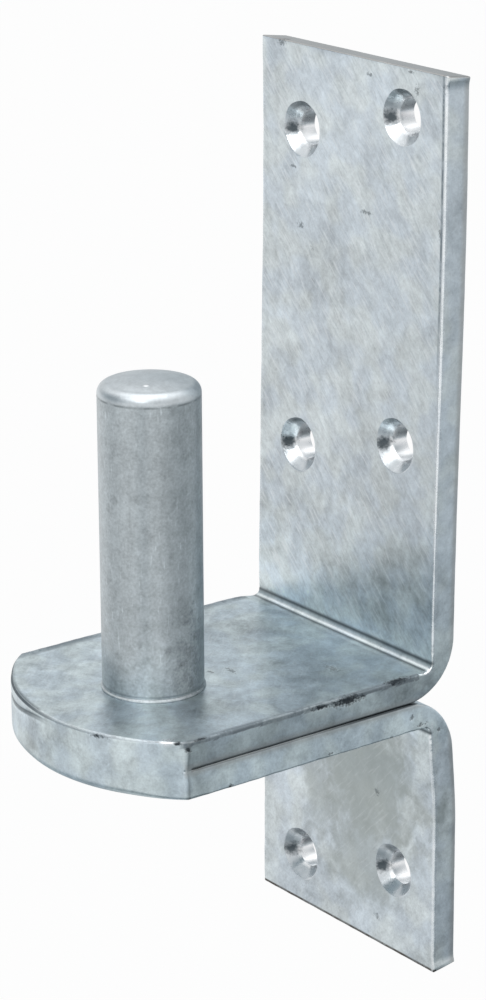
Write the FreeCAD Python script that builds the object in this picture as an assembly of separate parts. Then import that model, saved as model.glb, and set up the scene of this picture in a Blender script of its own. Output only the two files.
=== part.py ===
import FreeCAD, Part
import math
import os
from FreeCAD import Vector

# Gate hinge pin: a round pin stands on the stacked arms of two bent flat bars. The upper bar
# turns up against the post and the lower bar turns down against it, so the pin's load is
# carried above and below the arms. All sizes are in millimetres.
#
# Frame: the origin is on the pin's axis at the face of the arm that the gate's eye rests on,
# +X runs along the plates' width, +Y points into the post and +Z runs up the pin.

# Pin: body, domed top, and the tenon that goes through both arms and is riveted over
pinRadius = 8.0
pinHeight = 50.0  # crown of the top above the arm
crownRise = 0.7  # crown above its own rim
topRounding = 1.7  # rounding from the crown into the side
tenonRadius = 6.0
rivetSeatFlare = 1.7  # how much wider than the tenon the riveted end is at the arm's face
rivetSeatDepth = 1.9
rivetCrown = 0.9  # how far the riveted end stands below the arm

# Flat bar that both brackets are bent from
plateWidth = 45.0
plateThickness = 4.7
millRounding = 0.5  # rolled long edges of the bar
bendInside = 1.2
bendOutside = 9.5  # more than inside radius plus thickness would give: the press thins the bend

# Brackets
postFromPin = 43.5  # back faces of both plates
upperPlateRise = 94.0  # plate's end above the arm's top face
lowerPlateDrop = 43.0  # plate's end below the stack's underside
noseReach = 20.6  # middle of the rounded nose in front of the pin's axis
noseSag = 10.8  # middle of the nose in front of its two corners
noseRounding = 1.2  # ground edge along the nose, above and below the stack

# Screw holes: two columns, the right one a little higher, sunk from the front
holeRadius = 2.7
sinkRadius = 4.5
sinkAngle = 90.0
columnSpacing = 24.4
columnStagger = 5.7
upperEndToHole = 7.3  # end of the upper plate to the nearer hole
armToHole = 29.0  # arm's top face to the nearer hole
lowerEndToHole = 8.2  # end of the lower plate to the nearer hole

# Heights of the stack
seamZ = -plateThickness
undersideZ = -2 * plateThickness
upperEndZ = upperPlateRise
lowerEndZ = undersideZ - lowerPlateDrop

# Faces of the plates, from the back to the front
backY = postFromPin
frontY = backY - plateThickness

leftX = -columnSpacing / 2
rightX = columnSpacing / 2
upperHoles = [
    (leftX, upperEndZ - upperEndToHole - columnStagger),
    (rightX, upperEndZ - upperEndToHole),
    (leftX, armToHole),
    (rightX, armToHole + columnStagger),
]
lowerHoles = [
    (leftX, lowerEndZ + lowerEndToHole),
    (rightX, lowerEndZ + lowerEndToHole + columnStagger),
]


def arcThrough(centre, radius, startAngle, endAngle):
    points = []
    for angle in (startAngle, (startAngle + endAngle) / 2, endAngle):
        turn = math.radians(angle)
        points.append(centre + Vector(0, radius * math.cos(turn), radius * math.sin(turn)))
    return Part.Arc(*points).toShape()


def line(start, end):
    return Part.LineSegment(start, end).toShape()


# Side view of one bent bar: arm along -Y with its inner face on z = 0, plate up along +Z
def bentBar(plateLength):
    x = -plateWidth / 2
    blankY = -1.5 * noseReach
    inner = Vector(x, frontY - bendInside, bendInside)
    outer = Vector(x, backY - bendOutside, bendOutside - plateThickness)
    outline = Part.Wire([
        line(Vector(x, blankY, 0), Vector(x, inner.y, 0)),
        arcThrough(inner, bendInside, -90, 0),
        line(Vector(x, frontY, inner.z), Vector(x, frontY, plateLength)),
        line(Vector(x, frontY, plateLength), Vector(x, backY, plateLength)),
        line(Vector(x, backY, plateLength), Vector(x, backY, outer.z)),
        arcThrough(outer, bendOutside, 0, -90),
        line(Vector(x, outer.y, -plateThickness), Vector(x, blankY, -plateThickness)),
        line(Vector(x, blankY, -plateThickness), Vector(x, blankY, 0)),
    ])
    return Part.Face(outline).extrude(Vector(plateWidth, 0, 0))


# Plan view of the arm: straight sides and a wide arc across the front
def noseOutline():
    side = plateWidth / 2
    cornerY = noseSag - noseReach
    left = Vector(-side, cornerY, 0)
    right = Vector(side, cornerY, 0)
    tip = Vector(0, -noseReach, 0)
    backLeft = Vector(-side, backY, 0)
    backRight = Vector(side, backY, 0)
    return Part.Wire([
        Part.Arc(left, tip, right).toShape(),
        line(right, backRight),
        line(backRight, backLeft),
        line(backLeft, left),
    ])


def shearNose(bar):
    box = bar.BoundBox
    plan = Part.Face(noseOutline()).extrude(Vector(0, 0, box.ZLength + 2))
    plan.translate(Vector(0, 0, box.ZMin - 1))
    return bar.common(plan).Solids[0]


# The ground edge runs along the nose on the arm's inner face, which ends up on the outside
# of the stack. The edge on the seam stays sharp.
def groundNose(bar):
    edges = []
    for edge in bar.Edges:
        box = edge.BoundBox
        onFace = max(abs(box.ZMin), abs(box.ZMax)) < 1e-4
        acrossNose = box.XLength > plateWidth / 2 and box.YMax < 0
        if onFace and acrossNose:
            edges.append(edge)
    return bar.makeFillet(noseRounding, edges)


# The rolled edges run along the bar's two sides. Its cut ends stay square.
def rolledSides(bar, plateLength):
    edges = []
    for edge in bar.Edges:
        box = edge.BoundBox
        onSide = box.XLength < 1e-6
        atPlateEnd = box.ZMin > plateLength - 1e-6
        atNoseCorner = box.YMax < 0 and box.YLength < 1e-6
        if onSide and not atPlateEnd and not atNoseCorner:
            edges.append(edge)
    return bar.makeFillet(millRounding, edges)


def shapedBar(plateLength):
    return rolledSides(groundNose(shearNose(bentBar(plateLength))), plateLength)


# Straight hole with a conical sink, along +Y from in front of the plate
def screwHole(x, z):
    slope = math.tan(math.radians(sinkAngle / 2))
    sinkDepth = (sinkRadius - holeRadius) / slope
    clear = 1.0  # both ends of the tool run this far past the plate
    profile = Part.makePolygon([
        Vector(0, -clear, 0),
        Vector(sinkRadius + clear * slope, -clear, 0),
        Vector(holeRadius, sinkDepth, 0),
        Vector(holeRadius, plateThickness + clear, 0),
        Vector(0, plateThickness + clear, 0),
        Vector(0, -clear, 0),
    ])
    tool = Part.Face(profile).revolve(Vector(0, 0, 0), Vector(0, 1, 0), 360)
    tool.translate(Vector(x, frontY, z))
    return tool


def drilled(plate, holes):
    return plate.cut([screwHole(x, z) for x, z in holes])


# Hole for the tenon through both arms, with the seat that the riveted end fills
def tenonTool():
    profile = Part.makePolygon([
        Vector(0, 0, 1),
        Vector(tenonRadius, 0, 1),
        Vector(tenonRadius, 0, undersideZ + rivetSeatDepth),
        Vector(tenonRadius + rivetSeatFlare, 0, undersideZ),
        Vector(tenonRadius + rivetSeatFlare, 0, undersideZ - 1),
        Vector(0, 0, undersideZ - 1),
        Vector(0, 0, 1),
    ])
    return Part.Face(profile).revolve(Vector(0, 0, 0), Vector(0, 0, 1), 360)


# Shallow crown on a disc: part of a circle about a point on the pin's axis, from axis to rim
def crownArc(rimRadius, rimZ, rise):
    radius = (rimRadius ** 2 + rise ** 2) / (2 * abs(rise))
    side = math.copysign(1, rise)
    centreZ = rimZ + rise - side * radius
    halfTurn = math.asin(rimRadius / radius) / 2
    middle = Vector(radius * math.sin(halfTurn), 0, centreZ + side * radius * math.cos(halfTurn))
    return Part.Arc(Vector(0, 0, rimZ + rise), middle, Vector(rimRadius, 0, rimZ)).toShape()


# Half section of the pin in the XZ plane, turned about its axis
def turnedPin():
    rimRadius = pinRadius - topRounding
    rimZ = pinHeight - crownRise
    sideZ = rimZ - topRounding
    knee = topRounding * math.sqrt(0.5)
    seatRadius = tenonRadius + rivetSeatFlare
    seatZ = undersideZ + rivetSeatDepth
    rounding = Part.Arc(
        Vector(rimRadius, 0, rimZ),
        Vector(rimRadius + knee, 0, sideZ + knee),
        Vector(pinRadius, 0, sideZ),
    )
    section = Part.Wire([
        crownArc(rimRadius, rimZ, crownRise),
        rounding.toShape(),
        line(Vector(pinRadius, 0, sideZ), Vector(pinRadius, 0, 0)),
        line(Vector(pinRadius, 0, 0), Vector(tenonRadius, 0, 0)),
        line(Vector(tenonRadius, 0, 0), Vector(tenonRadius, 0, seatZ)),
        line(Vector(tenonRadius, 0, seatZ), Vector(seatRadius, 0, undersideZ)),
        crownArc(seatRadius, undersideZ, -rivetCrown),
        line(Vector(0, 0, undersideZ - rivetCrown), Vector(0, 0, pinHeight)),
    ])
    return Part.Face(section).revolve(Vector(0, 0, 0), Vector(0, 0, 1), 360)


tenonHole = tenonTool()

upperBar = shapedBar(upperEndZ)
upperBracket = drilled(upperBar, upperHoles).cut(tenonHole)

# The lower bar is the same bend turned over about the seam, with a shorter plate
lowerBar = shapedBar(lowerPlateDrop)
lowerBar = lowerBar.mirror(Vector(0, 0, seamZ), Vector(0, 0, 1))
lowerBracket = drilled(lowerBar, lowerHoles).cut(tenonHole)

hingePin = turnedPin()

os.makedirs("parts", exist_ok=True)
for name, shape in (
    ("upper_bracket", upperBracket),
    ("lower_bracket", lowerBracket),
    ("hinge_pin", hingePin),
):
    shape = shape.removeSplitter()
    solid = shape.Solids[0]
    print(name, "solids", len(shape.Solids), "valid", solid.isValid(), "volume", round(solid.Volume, 1))
    solid.exportStep("parts/" + name + ".step")
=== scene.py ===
import math

import bpy
import numpy as np
from mathutils import Matrix, Vector


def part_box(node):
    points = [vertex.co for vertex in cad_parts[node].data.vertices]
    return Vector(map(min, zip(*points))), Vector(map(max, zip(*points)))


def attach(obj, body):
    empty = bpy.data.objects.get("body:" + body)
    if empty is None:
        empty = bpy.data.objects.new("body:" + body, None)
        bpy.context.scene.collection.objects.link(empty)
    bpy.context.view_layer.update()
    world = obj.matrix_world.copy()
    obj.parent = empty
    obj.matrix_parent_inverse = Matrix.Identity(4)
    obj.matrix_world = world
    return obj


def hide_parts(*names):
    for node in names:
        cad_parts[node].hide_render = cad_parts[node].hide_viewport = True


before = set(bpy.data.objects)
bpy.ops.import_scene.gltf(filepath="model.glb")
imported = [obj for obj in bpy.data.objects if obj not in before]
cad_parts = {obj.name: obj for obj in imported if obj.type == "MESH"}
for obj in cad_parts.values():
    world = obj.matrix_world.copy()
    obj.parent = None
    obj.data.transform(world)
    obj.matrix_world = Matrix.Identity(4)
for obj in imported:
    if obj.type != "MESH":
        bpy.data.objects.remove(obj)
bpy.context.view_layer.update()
print("frame loaded:", sorted(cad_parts))

mm = 0.001
upperLow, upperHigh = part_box("upper_bracket")
lowerLow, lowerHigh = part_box("lower_bracket")
pinLow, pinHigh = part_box("hinge_pin")

# The bar both brackets are bent from. Its size comes from the frame, its finish from here.
bar = {
    "width": upperHigh.x - upperLow.x,
    "thickness": -upperLow.z,  # the arm's top face is at z = 0
    "backY": upperHigh.y,
    "noseY": upperLow.y,
    "noseSag": 10.8 * mm,  # the nose's middle in front of its two corners
    "bendInside": 1.2 * mm,
    "bendOutside": 9.5 * mm,
    "edgeRounding": 0.32 * mm,  # rolled long edges
    "seamRounding": 0.24 * mm,  # the same at the seam and along the back
    "edgeWander": 0.35,  # share by which that rounding comes and goes
    "sideLean": 0.24 * mm,  # the sides lean in towards the seam and the back
    "endRounding": 0.22 * mm,  # sheared plate end
    "endLean": 0.60 * mm,  # the shear left the end's front edge higher than its back edge
    "burr": 0.30 * mm,  # stands out at one corner of each plate end
    "pressMark": 0.05 * mm,  # line that the press leaves on each side of the inner bend
    "pressMarkWidth": 0.30 * mm,
    "armSpread": 1.05 * mm,  # the arm's left side stands out
    "armSwell": 0.25 * mm,  # and is a little thicker
    "twist": 0.12 * mm,  # the upper plate's right side stands back by this, its left side forward
    "cell": 0.62 * mm,  # mesh spacing along and across
}
bar["frontY"] = bar["backY"] - bar["thickness"]
seamZ = -bar["thickness"]

# Springback: how far each plate's foot and end stand behind their nominal place, and between
# which heights over the arm it changes
upperLean = {"foot": -0.86 * mm, "end": 0.36 * mm, "from": 0.0, "to": 80 * mm}
lowerLean = {"foot": -1.10 * mm, "end": 0.15 * mm, "from": -2 * mm, "to": 18 * mm}

# Ground nose: the edge above is crisp at the left and softer at the right, the edge below the
# other way round, and the zinc stands in two beads at the left
nose = {
    "topLeft": 0.40 * mm,
    "topRight": 0.58 * mm,
    "seam": 0.004 * mm,  # both noses were ground as one, so the seam doesn't show there
    "bottomLeft": 2.4 * mm,
    "bottomRight": 1.1 * mm,
    "fuller": 0.42 * mm,  # the arc stands out at the left
    "fullerEnd": 0.45 * mm,  # and more so at its very end
    "leftCorner": 0.6 * mm,
    "rightCorner": 0.5 * mm,
    "beadEnd": 4.0 * mm,  # x where the beads run out
    "beadStart": -7.0 * mm,
    "upperGroove": (-0.06 * mm, 0.26 * mm, 0.12 * mm),  # height, half width, depth
    "lowerGroove": (-1.05 * mm, 0.34 * mm, 0.30 * mm),
    "lowerDip": -1.30 * mm,  # the lower groove sinks by this towards the left
    "dipEnd": -13 * mm,
}

# Countersunk screw holes: two columns, the right one a little higher
holes = {
    "radius": 2.7 * mm,
    "sinkRadius": 4.5 * mm,
    "lip": 0.16 * mm,  # zinc rounds the rim of the sink
    "columnSpacing": 24.4 * mm,
    "columnStagger": 5.7 * mm,
    "upperFirst": 29.0 * mm,  # arm's top face to the first hole
    "upperPitch": 52.0 * mm,
    "lowerFirst": 8.2 * mm,  # end of the lower plate to the first hole
    "wobble": 0.05 * mm,
}

pin = {
    "radius": 8.0 * mm,
    "crownRise": 0.7 * mm,
    "topRounding": 1.7 * mm,
    "tenonRadius": 6.0 * mm,
    "rivetRadius": 7.7 * mm,
    "rivetSeat": 1.9 * mm,
    "bead": 0.19 * mm,  # zinc fillet where the pin meets the arm
    "around": 220,
}

zinc = {
    "waveHeight": 0.10 * mm,
    "waveSize": 16 * mm,
    "peelHeight": 0.022 * mm,
    "peelSize": 2.6 * mm,
}


def smooth(low, high, value):
    t = np.clip((value - low) / (high - low), 0, 1)
    return t * t * (3 - 2 * t)


def newMesh(name, points, faces, flip=False):
    mesh = bpy.data.meshes.new(name)
    faces = [tuple(int(n) for n in (reversed(f) if flip else f)) for f in faces]
    mesh.from_pydata([tuple(float(c) for c in p) for p in points], [], faces)
    mesh.validate()
    mesh.update()
    item = bpy.data.objects.new(name, mesh)
    bpy.context.scene.collection.objects.link(item)
    return item


# Skin of a block cut into cells: the lattice place of each corner, and its quads facing out
def blockSkin(cells):
    sides = []
    for axis in range(3):
        first, second = [n for n in range(3) if n != axis]
        for end in (0, cells[axis]):
            i, j = np.meshgrid(np.arange(cells[first]), np.arange(cells[second]), indexing="ij")
            quad = np.zeros((cells[first], cells[second], 4, 3), int)
            loop = [(0, 0), (1, 0), (1, 1), (0, 1)]
            if (end == 0) != (axis == 1):
                loop.reverse()
            for n, (stepI, stepJ) in enumerate(loop):
                quad[:, :, n, first] = i + stepI
                quad[:, :, n, second] = j + stepJ
                quad[:, :, n, axis] = end
            sides.append(quad.reshape(-1, 4, 3))
    quads = np.concatenate(sides)
    stride = np.array([(cells[1] + 1) * (cells[2] + 1), cells[2] + 1, 1])
    flat, index = np.unique((quads @ stride).ravel(), return_inverse=True)
    places = np.stack([flat // stride[0], flat // stride[1] % (cells[1] + 1), flat % stride[1]], axis=1)
    return places, index.reshape(-1, 4)


# A gentle wander along the bar, the same on every run
def wander(along, across, seed):
    total = np.zeros_like(along)
    for n, length in enumerate((23.0, 9.1, 4.3, 2.1)):
        phase = seed * 2.4 + n * 1.7
        total += np.sin(2 * math.pi * along / (length * mm) + phase + 3 * across / bar["width"]) / (n + 2)
    return total


softCells = 5  # cells across each rounded edge


def leanAt(lean, z):
    return lean["foot"] + (lean["end"] - lean["foot"]) * smooth(lean["from"], lean["to"], z)


# One bent bar with its arm along -Y and its plate up +Z, its inner face on z = 0
def bentBar(name, plateLength, lean, topLeft, topRight, seamEdge, beads, seed):
    half = bar["width"] / 2
    thick = bar["thickness"]
    bendStart = bar["backY"] - bar["bendOutside"]
    bendTop = bar["bendOutside"] - thick
    cell = bar["cell"]
    armCells = round((bendStart - bar["noseY"]) / cell)
    bendCells = 56
    plateCells = round((plateLength - bendTop) / cell)
    stations = np.concatenate([
        np.linspace(0, 1, armCells + 1),
        1 + np.linspace(0, 1, bendCells + 1)[1:],
        2 + np.linspace(0, 1, plateCells + 1)[1:],
    ])
    cells = (
        len(stations) - 1 + 2 * softCells,
        round(bar["width"] / cell) + 2 * softCells,
        14 + 2 * softCells,
    )
    places, quads = blockSkin(cells)
    low = np.clip(1 - places / softCells, 0, 1)
    high = np.clip(1 - (np.array(cells) - places) / softCells, 0, 1)
    turn = np.tan(np.maximum(low, high) * math.pi / 4)
    facing = turn / np.linalg.norm(turn, axis=1, keepdims=True)
    middle = np.clip((places - softCells) / (np.array(cells) - 2 * softCells), 0, 1)
    station = np.interp(middle[:, 0], np.linspace(0, 1, len(stations)), stations)

    # across the bar
    along = station * 40 * mm
    rough = 1 + bar["edgeWander"] * wander(along, middle[:, 1], seed)
    side = bar["edgeRounding"] * np.clip(rough, 0.3, 1.9)
    x = -half + side + middle[:, 1] * (2 * half - 2 * side)
    x = np.where(low[:, 1] > 0, -half + side * (1 - facing[:, 1]), x)
    x = np.where(high[:, 1] > 0, half - side * (1 - facing[:, 1]), x)

    # through the bar: the face's edge, and the edge that lies on the seam
    nearNose = 1 - smooth(0.0, 0.09, station)
    leftness = 1 - smooth(-half, half, x)
    faceEdge = topLeft * leftness + topRight * (1 - leftness)
    faceEdge = faceEdge * (1 - 0.5 * smooth(15 * mm, 22 * mm, x))
    faceEdge = side + (faceEdge - side) * nearNose
    backEdge = bar["seamRounding"] + (seamEdge - bar["seamRounding"]) * nearNose
    depth = faceEdge + middle[:, 2] ** 1.4 * (thick - faceEdge - backEdge)
    depth = np.where(low[:, 2] > 0, faceEdge * (1 - facing[:, 2]), depth)
    depth = np.where(high[:, 2] > 0, thick - backEdge * (1 - facing[:, 2]), depth)

    # the sides lean in towards the back, away from the nose's and the plate's own face
    x = x * (1 - bar["sideLean"] / half * depth / thick)
    leftShare = smooth(-0.3 * half, -half, x) * (1 - smooth(1.0, 1.6, station))
    x = x - bar["armSpread"] * leftShare

    # the nose: a wide arc in plan, rounded into the arm's face and at its two corners
    sagRadius = (half ** 2 + bar["noseSag"] ** 2) / (2 * bar["noseSag"])
    noseFront = bar["noseY"] + sagRadius - np.sqrt(sagRadius ** 2 - x ** 2)
    noseFront = noseFront - nose["fuller"] * smooth(-4 * mm, -19 * mm, x)
    noseFront = noseFront - nose["fullerEnd"] * smooth(-17.5 * mm, -22.5 * mm, x)
    for corner, reach in (
        (nose["leftCorner"], nose["leftCorner"] - half - bar["armSpread"] - x),
        (nose["rightCorner"], nose["rightCorner"] - half + x),
    ):
        reach = np.clip(reach, 0, corner)
        noseFront = noseFront + 0.8 * (corner - np.sqrt(corner ** 2 - reach ** 2))
    share = smooth(0.1, 0.9, depth / thick)
    noseEdge = np.maximum(faceEdge + (seamEdge - faceEdge) * share, 0.25 * mm)
    fade = 1 - smooth(nose["beadStart"], nose["beadEnd"], x)
    for (height, halfWidth, groove), dip in zip(beads, (0, nose["lowerDip"])):
        lineZ = height + dip * smooth(0, nose["dipEnd"], x)
        noseFront = noseFront + fade * groove * np.exp(-(((-depth - lineZ) / halfWidth) ** 2)) * (low[:, 0] > 0)
    armY = noseFront + noseEdge + np.clip(station, 0, 1) * (bendStart - noseFront - noseEdge)
    square = turn[:, 0] / np.maximum(np.hypot(turn[:, 0], turn[:, 1]), 1e-9)
    noseFacing = np.where(high[:, 2] > 0, square, facing[:, 0])  # flush at the seam
    armY = np.where(low[:, 0] > 0, noseFront + noseEdge * (1 - noseFacing), armY)

    # side view: inner and outer line of the bend, point by point
    bend = np.clip(station - 1, 0, 1)
    inner = bar["bendInside"]
    run = bar["bendOutside"] - inner - thick
    arc = inner * math.pi / 2
    walked = bend * (2 * run + arc)
    angle = np.clip((walked - run) / inner, 0, math.pi / 2)
    before = np.clip(walked, 0, run)
    after = np.clip(walked - run - arc, 0, run)
    innerY = bendStart + before + inner * np.sin(angle)
    innerZ = inner * (1 - np.cos(angle)) + after
    mark = np.zeros_like(walked)
    for centre in (run - 0.3 * mm, run + arc + 0.3 * mm):
        mark += bar["pressMark"] * np.exp(-(((walked - centre) / bar["pressMarkWidth"]) ** 2))
    mark = mark * (middle[:, 2] == 0) * (bend > 0) * (bend < 1)
    innerY = innerY + mark * np.where(walked > run + arc / 2, 1, 0)
    innerZ = innerZ - mark * np.where(walked > run + arc / 2, 0, 1)
    outer = bar["bendOutside"]
    outerY = bendStart + outer * np.sin(bend * math.pi / 2)
    outerZ = -thick + outer * (1 - np.cos(bend * math.pi / 2))

    # the plate, up to its sheared end
    end = bar["endRounding"]
    endZ = plateLength + bar["endLean"] * (1 - depth / thick)
    plateZ = bendTop + np.clip(station - 2, 0, 1) * (endZ - end - bendTop)
    plateZ = np.where(high[:, 0] > 0, endZ - end * (1 - facing[:, 0]), plateZ)

    # the shear left a burr at the right corner of the end
    burr = bar["burr"] * np.exp(-(((plateZ - plateLength) / (0.7 * mm)) ** 2)) * (station >= 2)
    x = x + burr * np.exp(-(((x - half) / (0.9 * mm)) ** 2))

    onArm = station <= 1
    onPlate = station >= 2
    innerY = np.where(onArm, armY, np.where(onPlate, bar["frontY"], innerY))
    innerZ = np.where(onArm, 0, np.where(onPlate, plateZ, innerZ))
    outerY = np.where(onArm, armY, np.where(onPlate, bar["backY"], outerY))
    outerZ = np.where(onArm, -thick, np.where(onPlate, plateZ, outerZ))
    part = depth / thick
    y = innerY + part * (outerY - innerY)
    z = innerZ + part * (outerZ - innerZ)
    z = z + bar["armSwell"] * leftShare * (1 - part)
    y = y + leanAt(lean, z) * smooth(0.2, 1.0, station)
    y = y + bar["twist"] * x / half * smooth(10 * mm, 90 * mm, z)
    return newMesh(name, np.stack([x, y, z], axis=1), quads)


# A turned solid about +Z, closed at both poles. Rows of the section run from the top down.
def turned(name, section, around, wobble=0.0):
    points = []
    faces = []
    for r, z in section[1:-1]:
        for n in range(around):
            angle = 2 * math.pi * n / around
            reach = r + wobble * (math.sin(3 * angle + 900 * z) + 0.6 * math.sin(7 * angle + 1.3))
            points.append((reach * math.cos(angle), reach * math.sin(angle), z))
    rows = len(section) - 2
    for row in range(rows - 1):
        for n in range(around):
            here = row * around + n
            there = row * around + (n + 1) % around
            faces.append((here, here + around, there + around, there))
    top = len(points)
    points.append((0, 0, section[0][1]))
    points.append((0, 0, section[-1][1]))
    last = (rows - 1) * around
    for n in range(around):
        faces.append((top, n, (n + 1) % around))
        faces.append((top + 1, last + (n + 1) % around, last + n))
    return newMesh(name, points, faces)


def arcPoints(centreR, centreZ, radius, start, end, steps):
    points = []
    for n in range(steps + 1):
        angle = math.radians(start + (end - start) * n / steps)
        points.append((centreR + radius * math.cos(angle), centreZ + radius * math.sin(angle)))
    return points


# A book of nodes for one material, world or shape tree
class Wire:
    def __init__(self, book, socket):
        self.book = book
        self.socket = socket

    def sum(self, operation, *values):
        return self.book.node("ShaderNodeMath", {"operation": operation}, *values)

    def __add__(self, other):
        return self.sum("ADD", self, other)

    __radd__ = __add__

    def __mul__(self, other):
        return self.sum("MULTIPLY", self, other)

    __rmul__ = __mul__

    def __sub__(self, other):
        return self.sum("SUBTRACT", self, other)

    def __rsub__(self, other):
        return self.sum("SUBTRACT", other, self)

    def __truediv__(self, other):
        return self.sum("DIVIDE", self, other)

    def __rtruediv__(self, other):
        return self.sum("DIVIDE", other, self)

    def __pow__(self, other):
        return self.sum("POWER", self, other)

    def most(self, other):
        return self.sum("MAXIMUM", self, other)

    def least(self, other):
        return self.sum("MINIMUM", self, other)


class NodeBook:
    def __init__(self, tree):
        self.tree = tree
        self.tree.nodes.clear()

    # Settings first, then socket values or links: by order, or by name with a dictionary
    def node(self, kind, settings=None, *values, named=None, output=0):
        made = self.tree.nodes.new(kind)
        for key, value in (settings or {}).items():
            if key == "stops":
                ramp = made.color_ramp
                while len(ramp.elements) > 1:
                    ramp.elements.remove(ramp.elements[-1])
                ramp.elements[0].position = value[0][0]
                ramp.elements[0].color = value[0][1]
                for place, colour in value[1:]:
                    ramp.elements.new(place).color = colour
            else:
                setattr(made, key, value)
        for n, value in enumerate(values):
            self.feed(made.inputs[n], value)
        for key, value in (named or {}).items():
            self.feed(made.inputs[key], value)
        return Wire(self, made.outputs[output]) if len(made.outputs) else None

    def feed(self, socket, value):
        if isinstance(value, Wire):
            self.tree.links.new(value.socket, socket)
        elif value is not None:
            socket.default_value = value

    # A value from 0 to 1 as this one passes from low to high
    def step(self, value, low, high):
        return self.node("ShaderNodeMapRange", {"interpolation_type": "SMOOTHSTEP"}, value, low, high, 0, 1)

    # A soft line: 1 where the value is at the centre, 0 at that reach from it
    def band(self, value, centre, reach):
        away = (value - centre) * (value - centre)
        return 1 - self.step(away, 0.10 * reach ** 2, reach ** 2)

    def mix(self, share, first, second, blend="MIX"):
        made = self.tree.nodes.new("ShaderNodeMix")
        made.data_type = "RGBA"
        made.blend_type = blend
        made.clamp_factor = True
        self.feed(made.inputs[0], share)
        self.feed(made.inputs[6], first)
        self.feed(made.inputs[7], second)
        return Wire(self, made.outputs[2])

    def noise(self, place, size, detail=2.0, roughness=0.5, distortion=0.0):
        return self.node(
            "ShaderNodeTexNoise",
            {"noise_dimensions": "3D"},
            named={
                "Vector": place,
                "Scale": 1 / size,
                "Detail": detail,
                "Roughness": roughness,
                "Distortion": distortion,
            },
        )

    def stretch(self, place, scale, turn=(0, 0, 0), shift=(0, 0, 0)):
        return self.node(
            "ShaderNodeMapping",
            {"vector_type": "POINT"},
            named={"Vector": place, "Location": shift, "Rotation": turn, "Scale": scale},
        )


# Inputs and outputs of a geometry tree
def shapeTree(name, inputs):
    tree = bpy.data.node_groups.new(name, "GeometryNodeTree")
    tree.interface.new_socket("Geometry", in_out="INPUT", socket_type="NodeSocketGeometry")
    for label, kind in inputs:
        tree.interface.new_socket(label, in_out="INPUT", socket_type=kind)
    tree.interface.new_socket("Geometry", in_out="OUTPUT", socket_type="NodeSocketGeometry")
    book = NodeBook(tree)
    entry = tree.nodes.new("NodeGroupInput")
    given = {socket.name: Wire(book, socket) for socket in entry.outputs if socket.name}
    return tree, book, given


def closeTree(book, geometry):
    leave = book.tree.nodes.new("NodeGroupOutput")
    book.feed(leave.inputs[0], geometry)


# Runs a tree on a piece and keeps the result as a plain mesh
def shapeBy(item, tree, values):
    modifier = item.modifiers.new("shape", "NODES")
    modifier.node_group = tree
    for socket in tree.interface.items_tree:
        if socket.in_out == "INPUT" and socket.name in values:
            modifier[socket.identifier] = values[socket.name]
    ready = item.evaluated_get(bpy.context.evaluated_depsgraph_get())
    mesh = bpy.data.meshes.new_from_object(ready)
    item.modifiers.remove(modifier)
    old = item.data
    item.data = mesh
    mesh.name = item.name
    bpy.data.meshes.remove(old)
    return item


# Zinc lies a little uneven on every piece: long waves and a fine peel. The two faces that meet
# at the seam stay where they are.
def zincSkin(book, geometry, given):
    place = book.node("GeometryNodeInputPosition")
    normal = book.node("GeometryNodeInputNormal")
    wave = book.noise(place, 1.0, 2.0)
    book.feed(wave.socket.node.inputs["Scale"], 1 / given["Wave size"])
    peel = book.noise(place, 1.0, 1.0)
    book.feed(peel.socket.node.inputs["Scale"], 1 / given["Peel size"])
    rise = (wave - 0.5) * given["Wave height"] + (peel - 0.5) * given["Peel height"]
    reach = book.node("ShaderNodeSeparateXYZ", {}, place, output="Y")
    rise = rise * (0.2 + book.step(reach, -11 * mm, 3 * mm) * 0.8)  # the nose was ground flat
    offset = book.node("ShaderNodeVectorMath", {"operation": "SCALE"}, normal, named={"Scale": rise})
    height = book.node("ShaderNodeSeparateXYZ", {}, place, output="Z")
    fromSeam = book.node("ShaderNodeMath", {"operation": "ABSOLUTE"}, height - seamZ)
    lift = book.node("ShaderNodeCombineXYZ", {}, 1.0, 1.0, book.step(fromSeam, 0.02 * mm, 0.4 * mm))
    offset = book.node("ShaderNodeVectorMath", {"operation": "MULTIPLY"}, offset, lift)
    return book.node("GeometryNodeSetPosition", {}, named={"Geometry": geometry, "Offset": offset})


def makeSkinTree():
    tree, book, given = shapeTree("zincSkin", [
        ("Wave height", "NodeSocketFloat"),
        ("Wave size", "NodeSocketFloat"),
        ("Peel height", "NodeSocketFloat"),
        ("Peel size", "NodeSocketFloat"),
        ("Finish", "NodeSocketMaterial"),
    ])
    skin = zincSkin(book, given["Geometry"], given)
    whole = book.node("GeometryNodeRealizeInstances", {}, named={"Geometry": skin})
    painted = book.node("GeometryNodeSetMaterial", {}, named={"Geometry": whole, "Material": given["Finish"]})
    closeTree(book, painted)
    return tree


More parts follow.
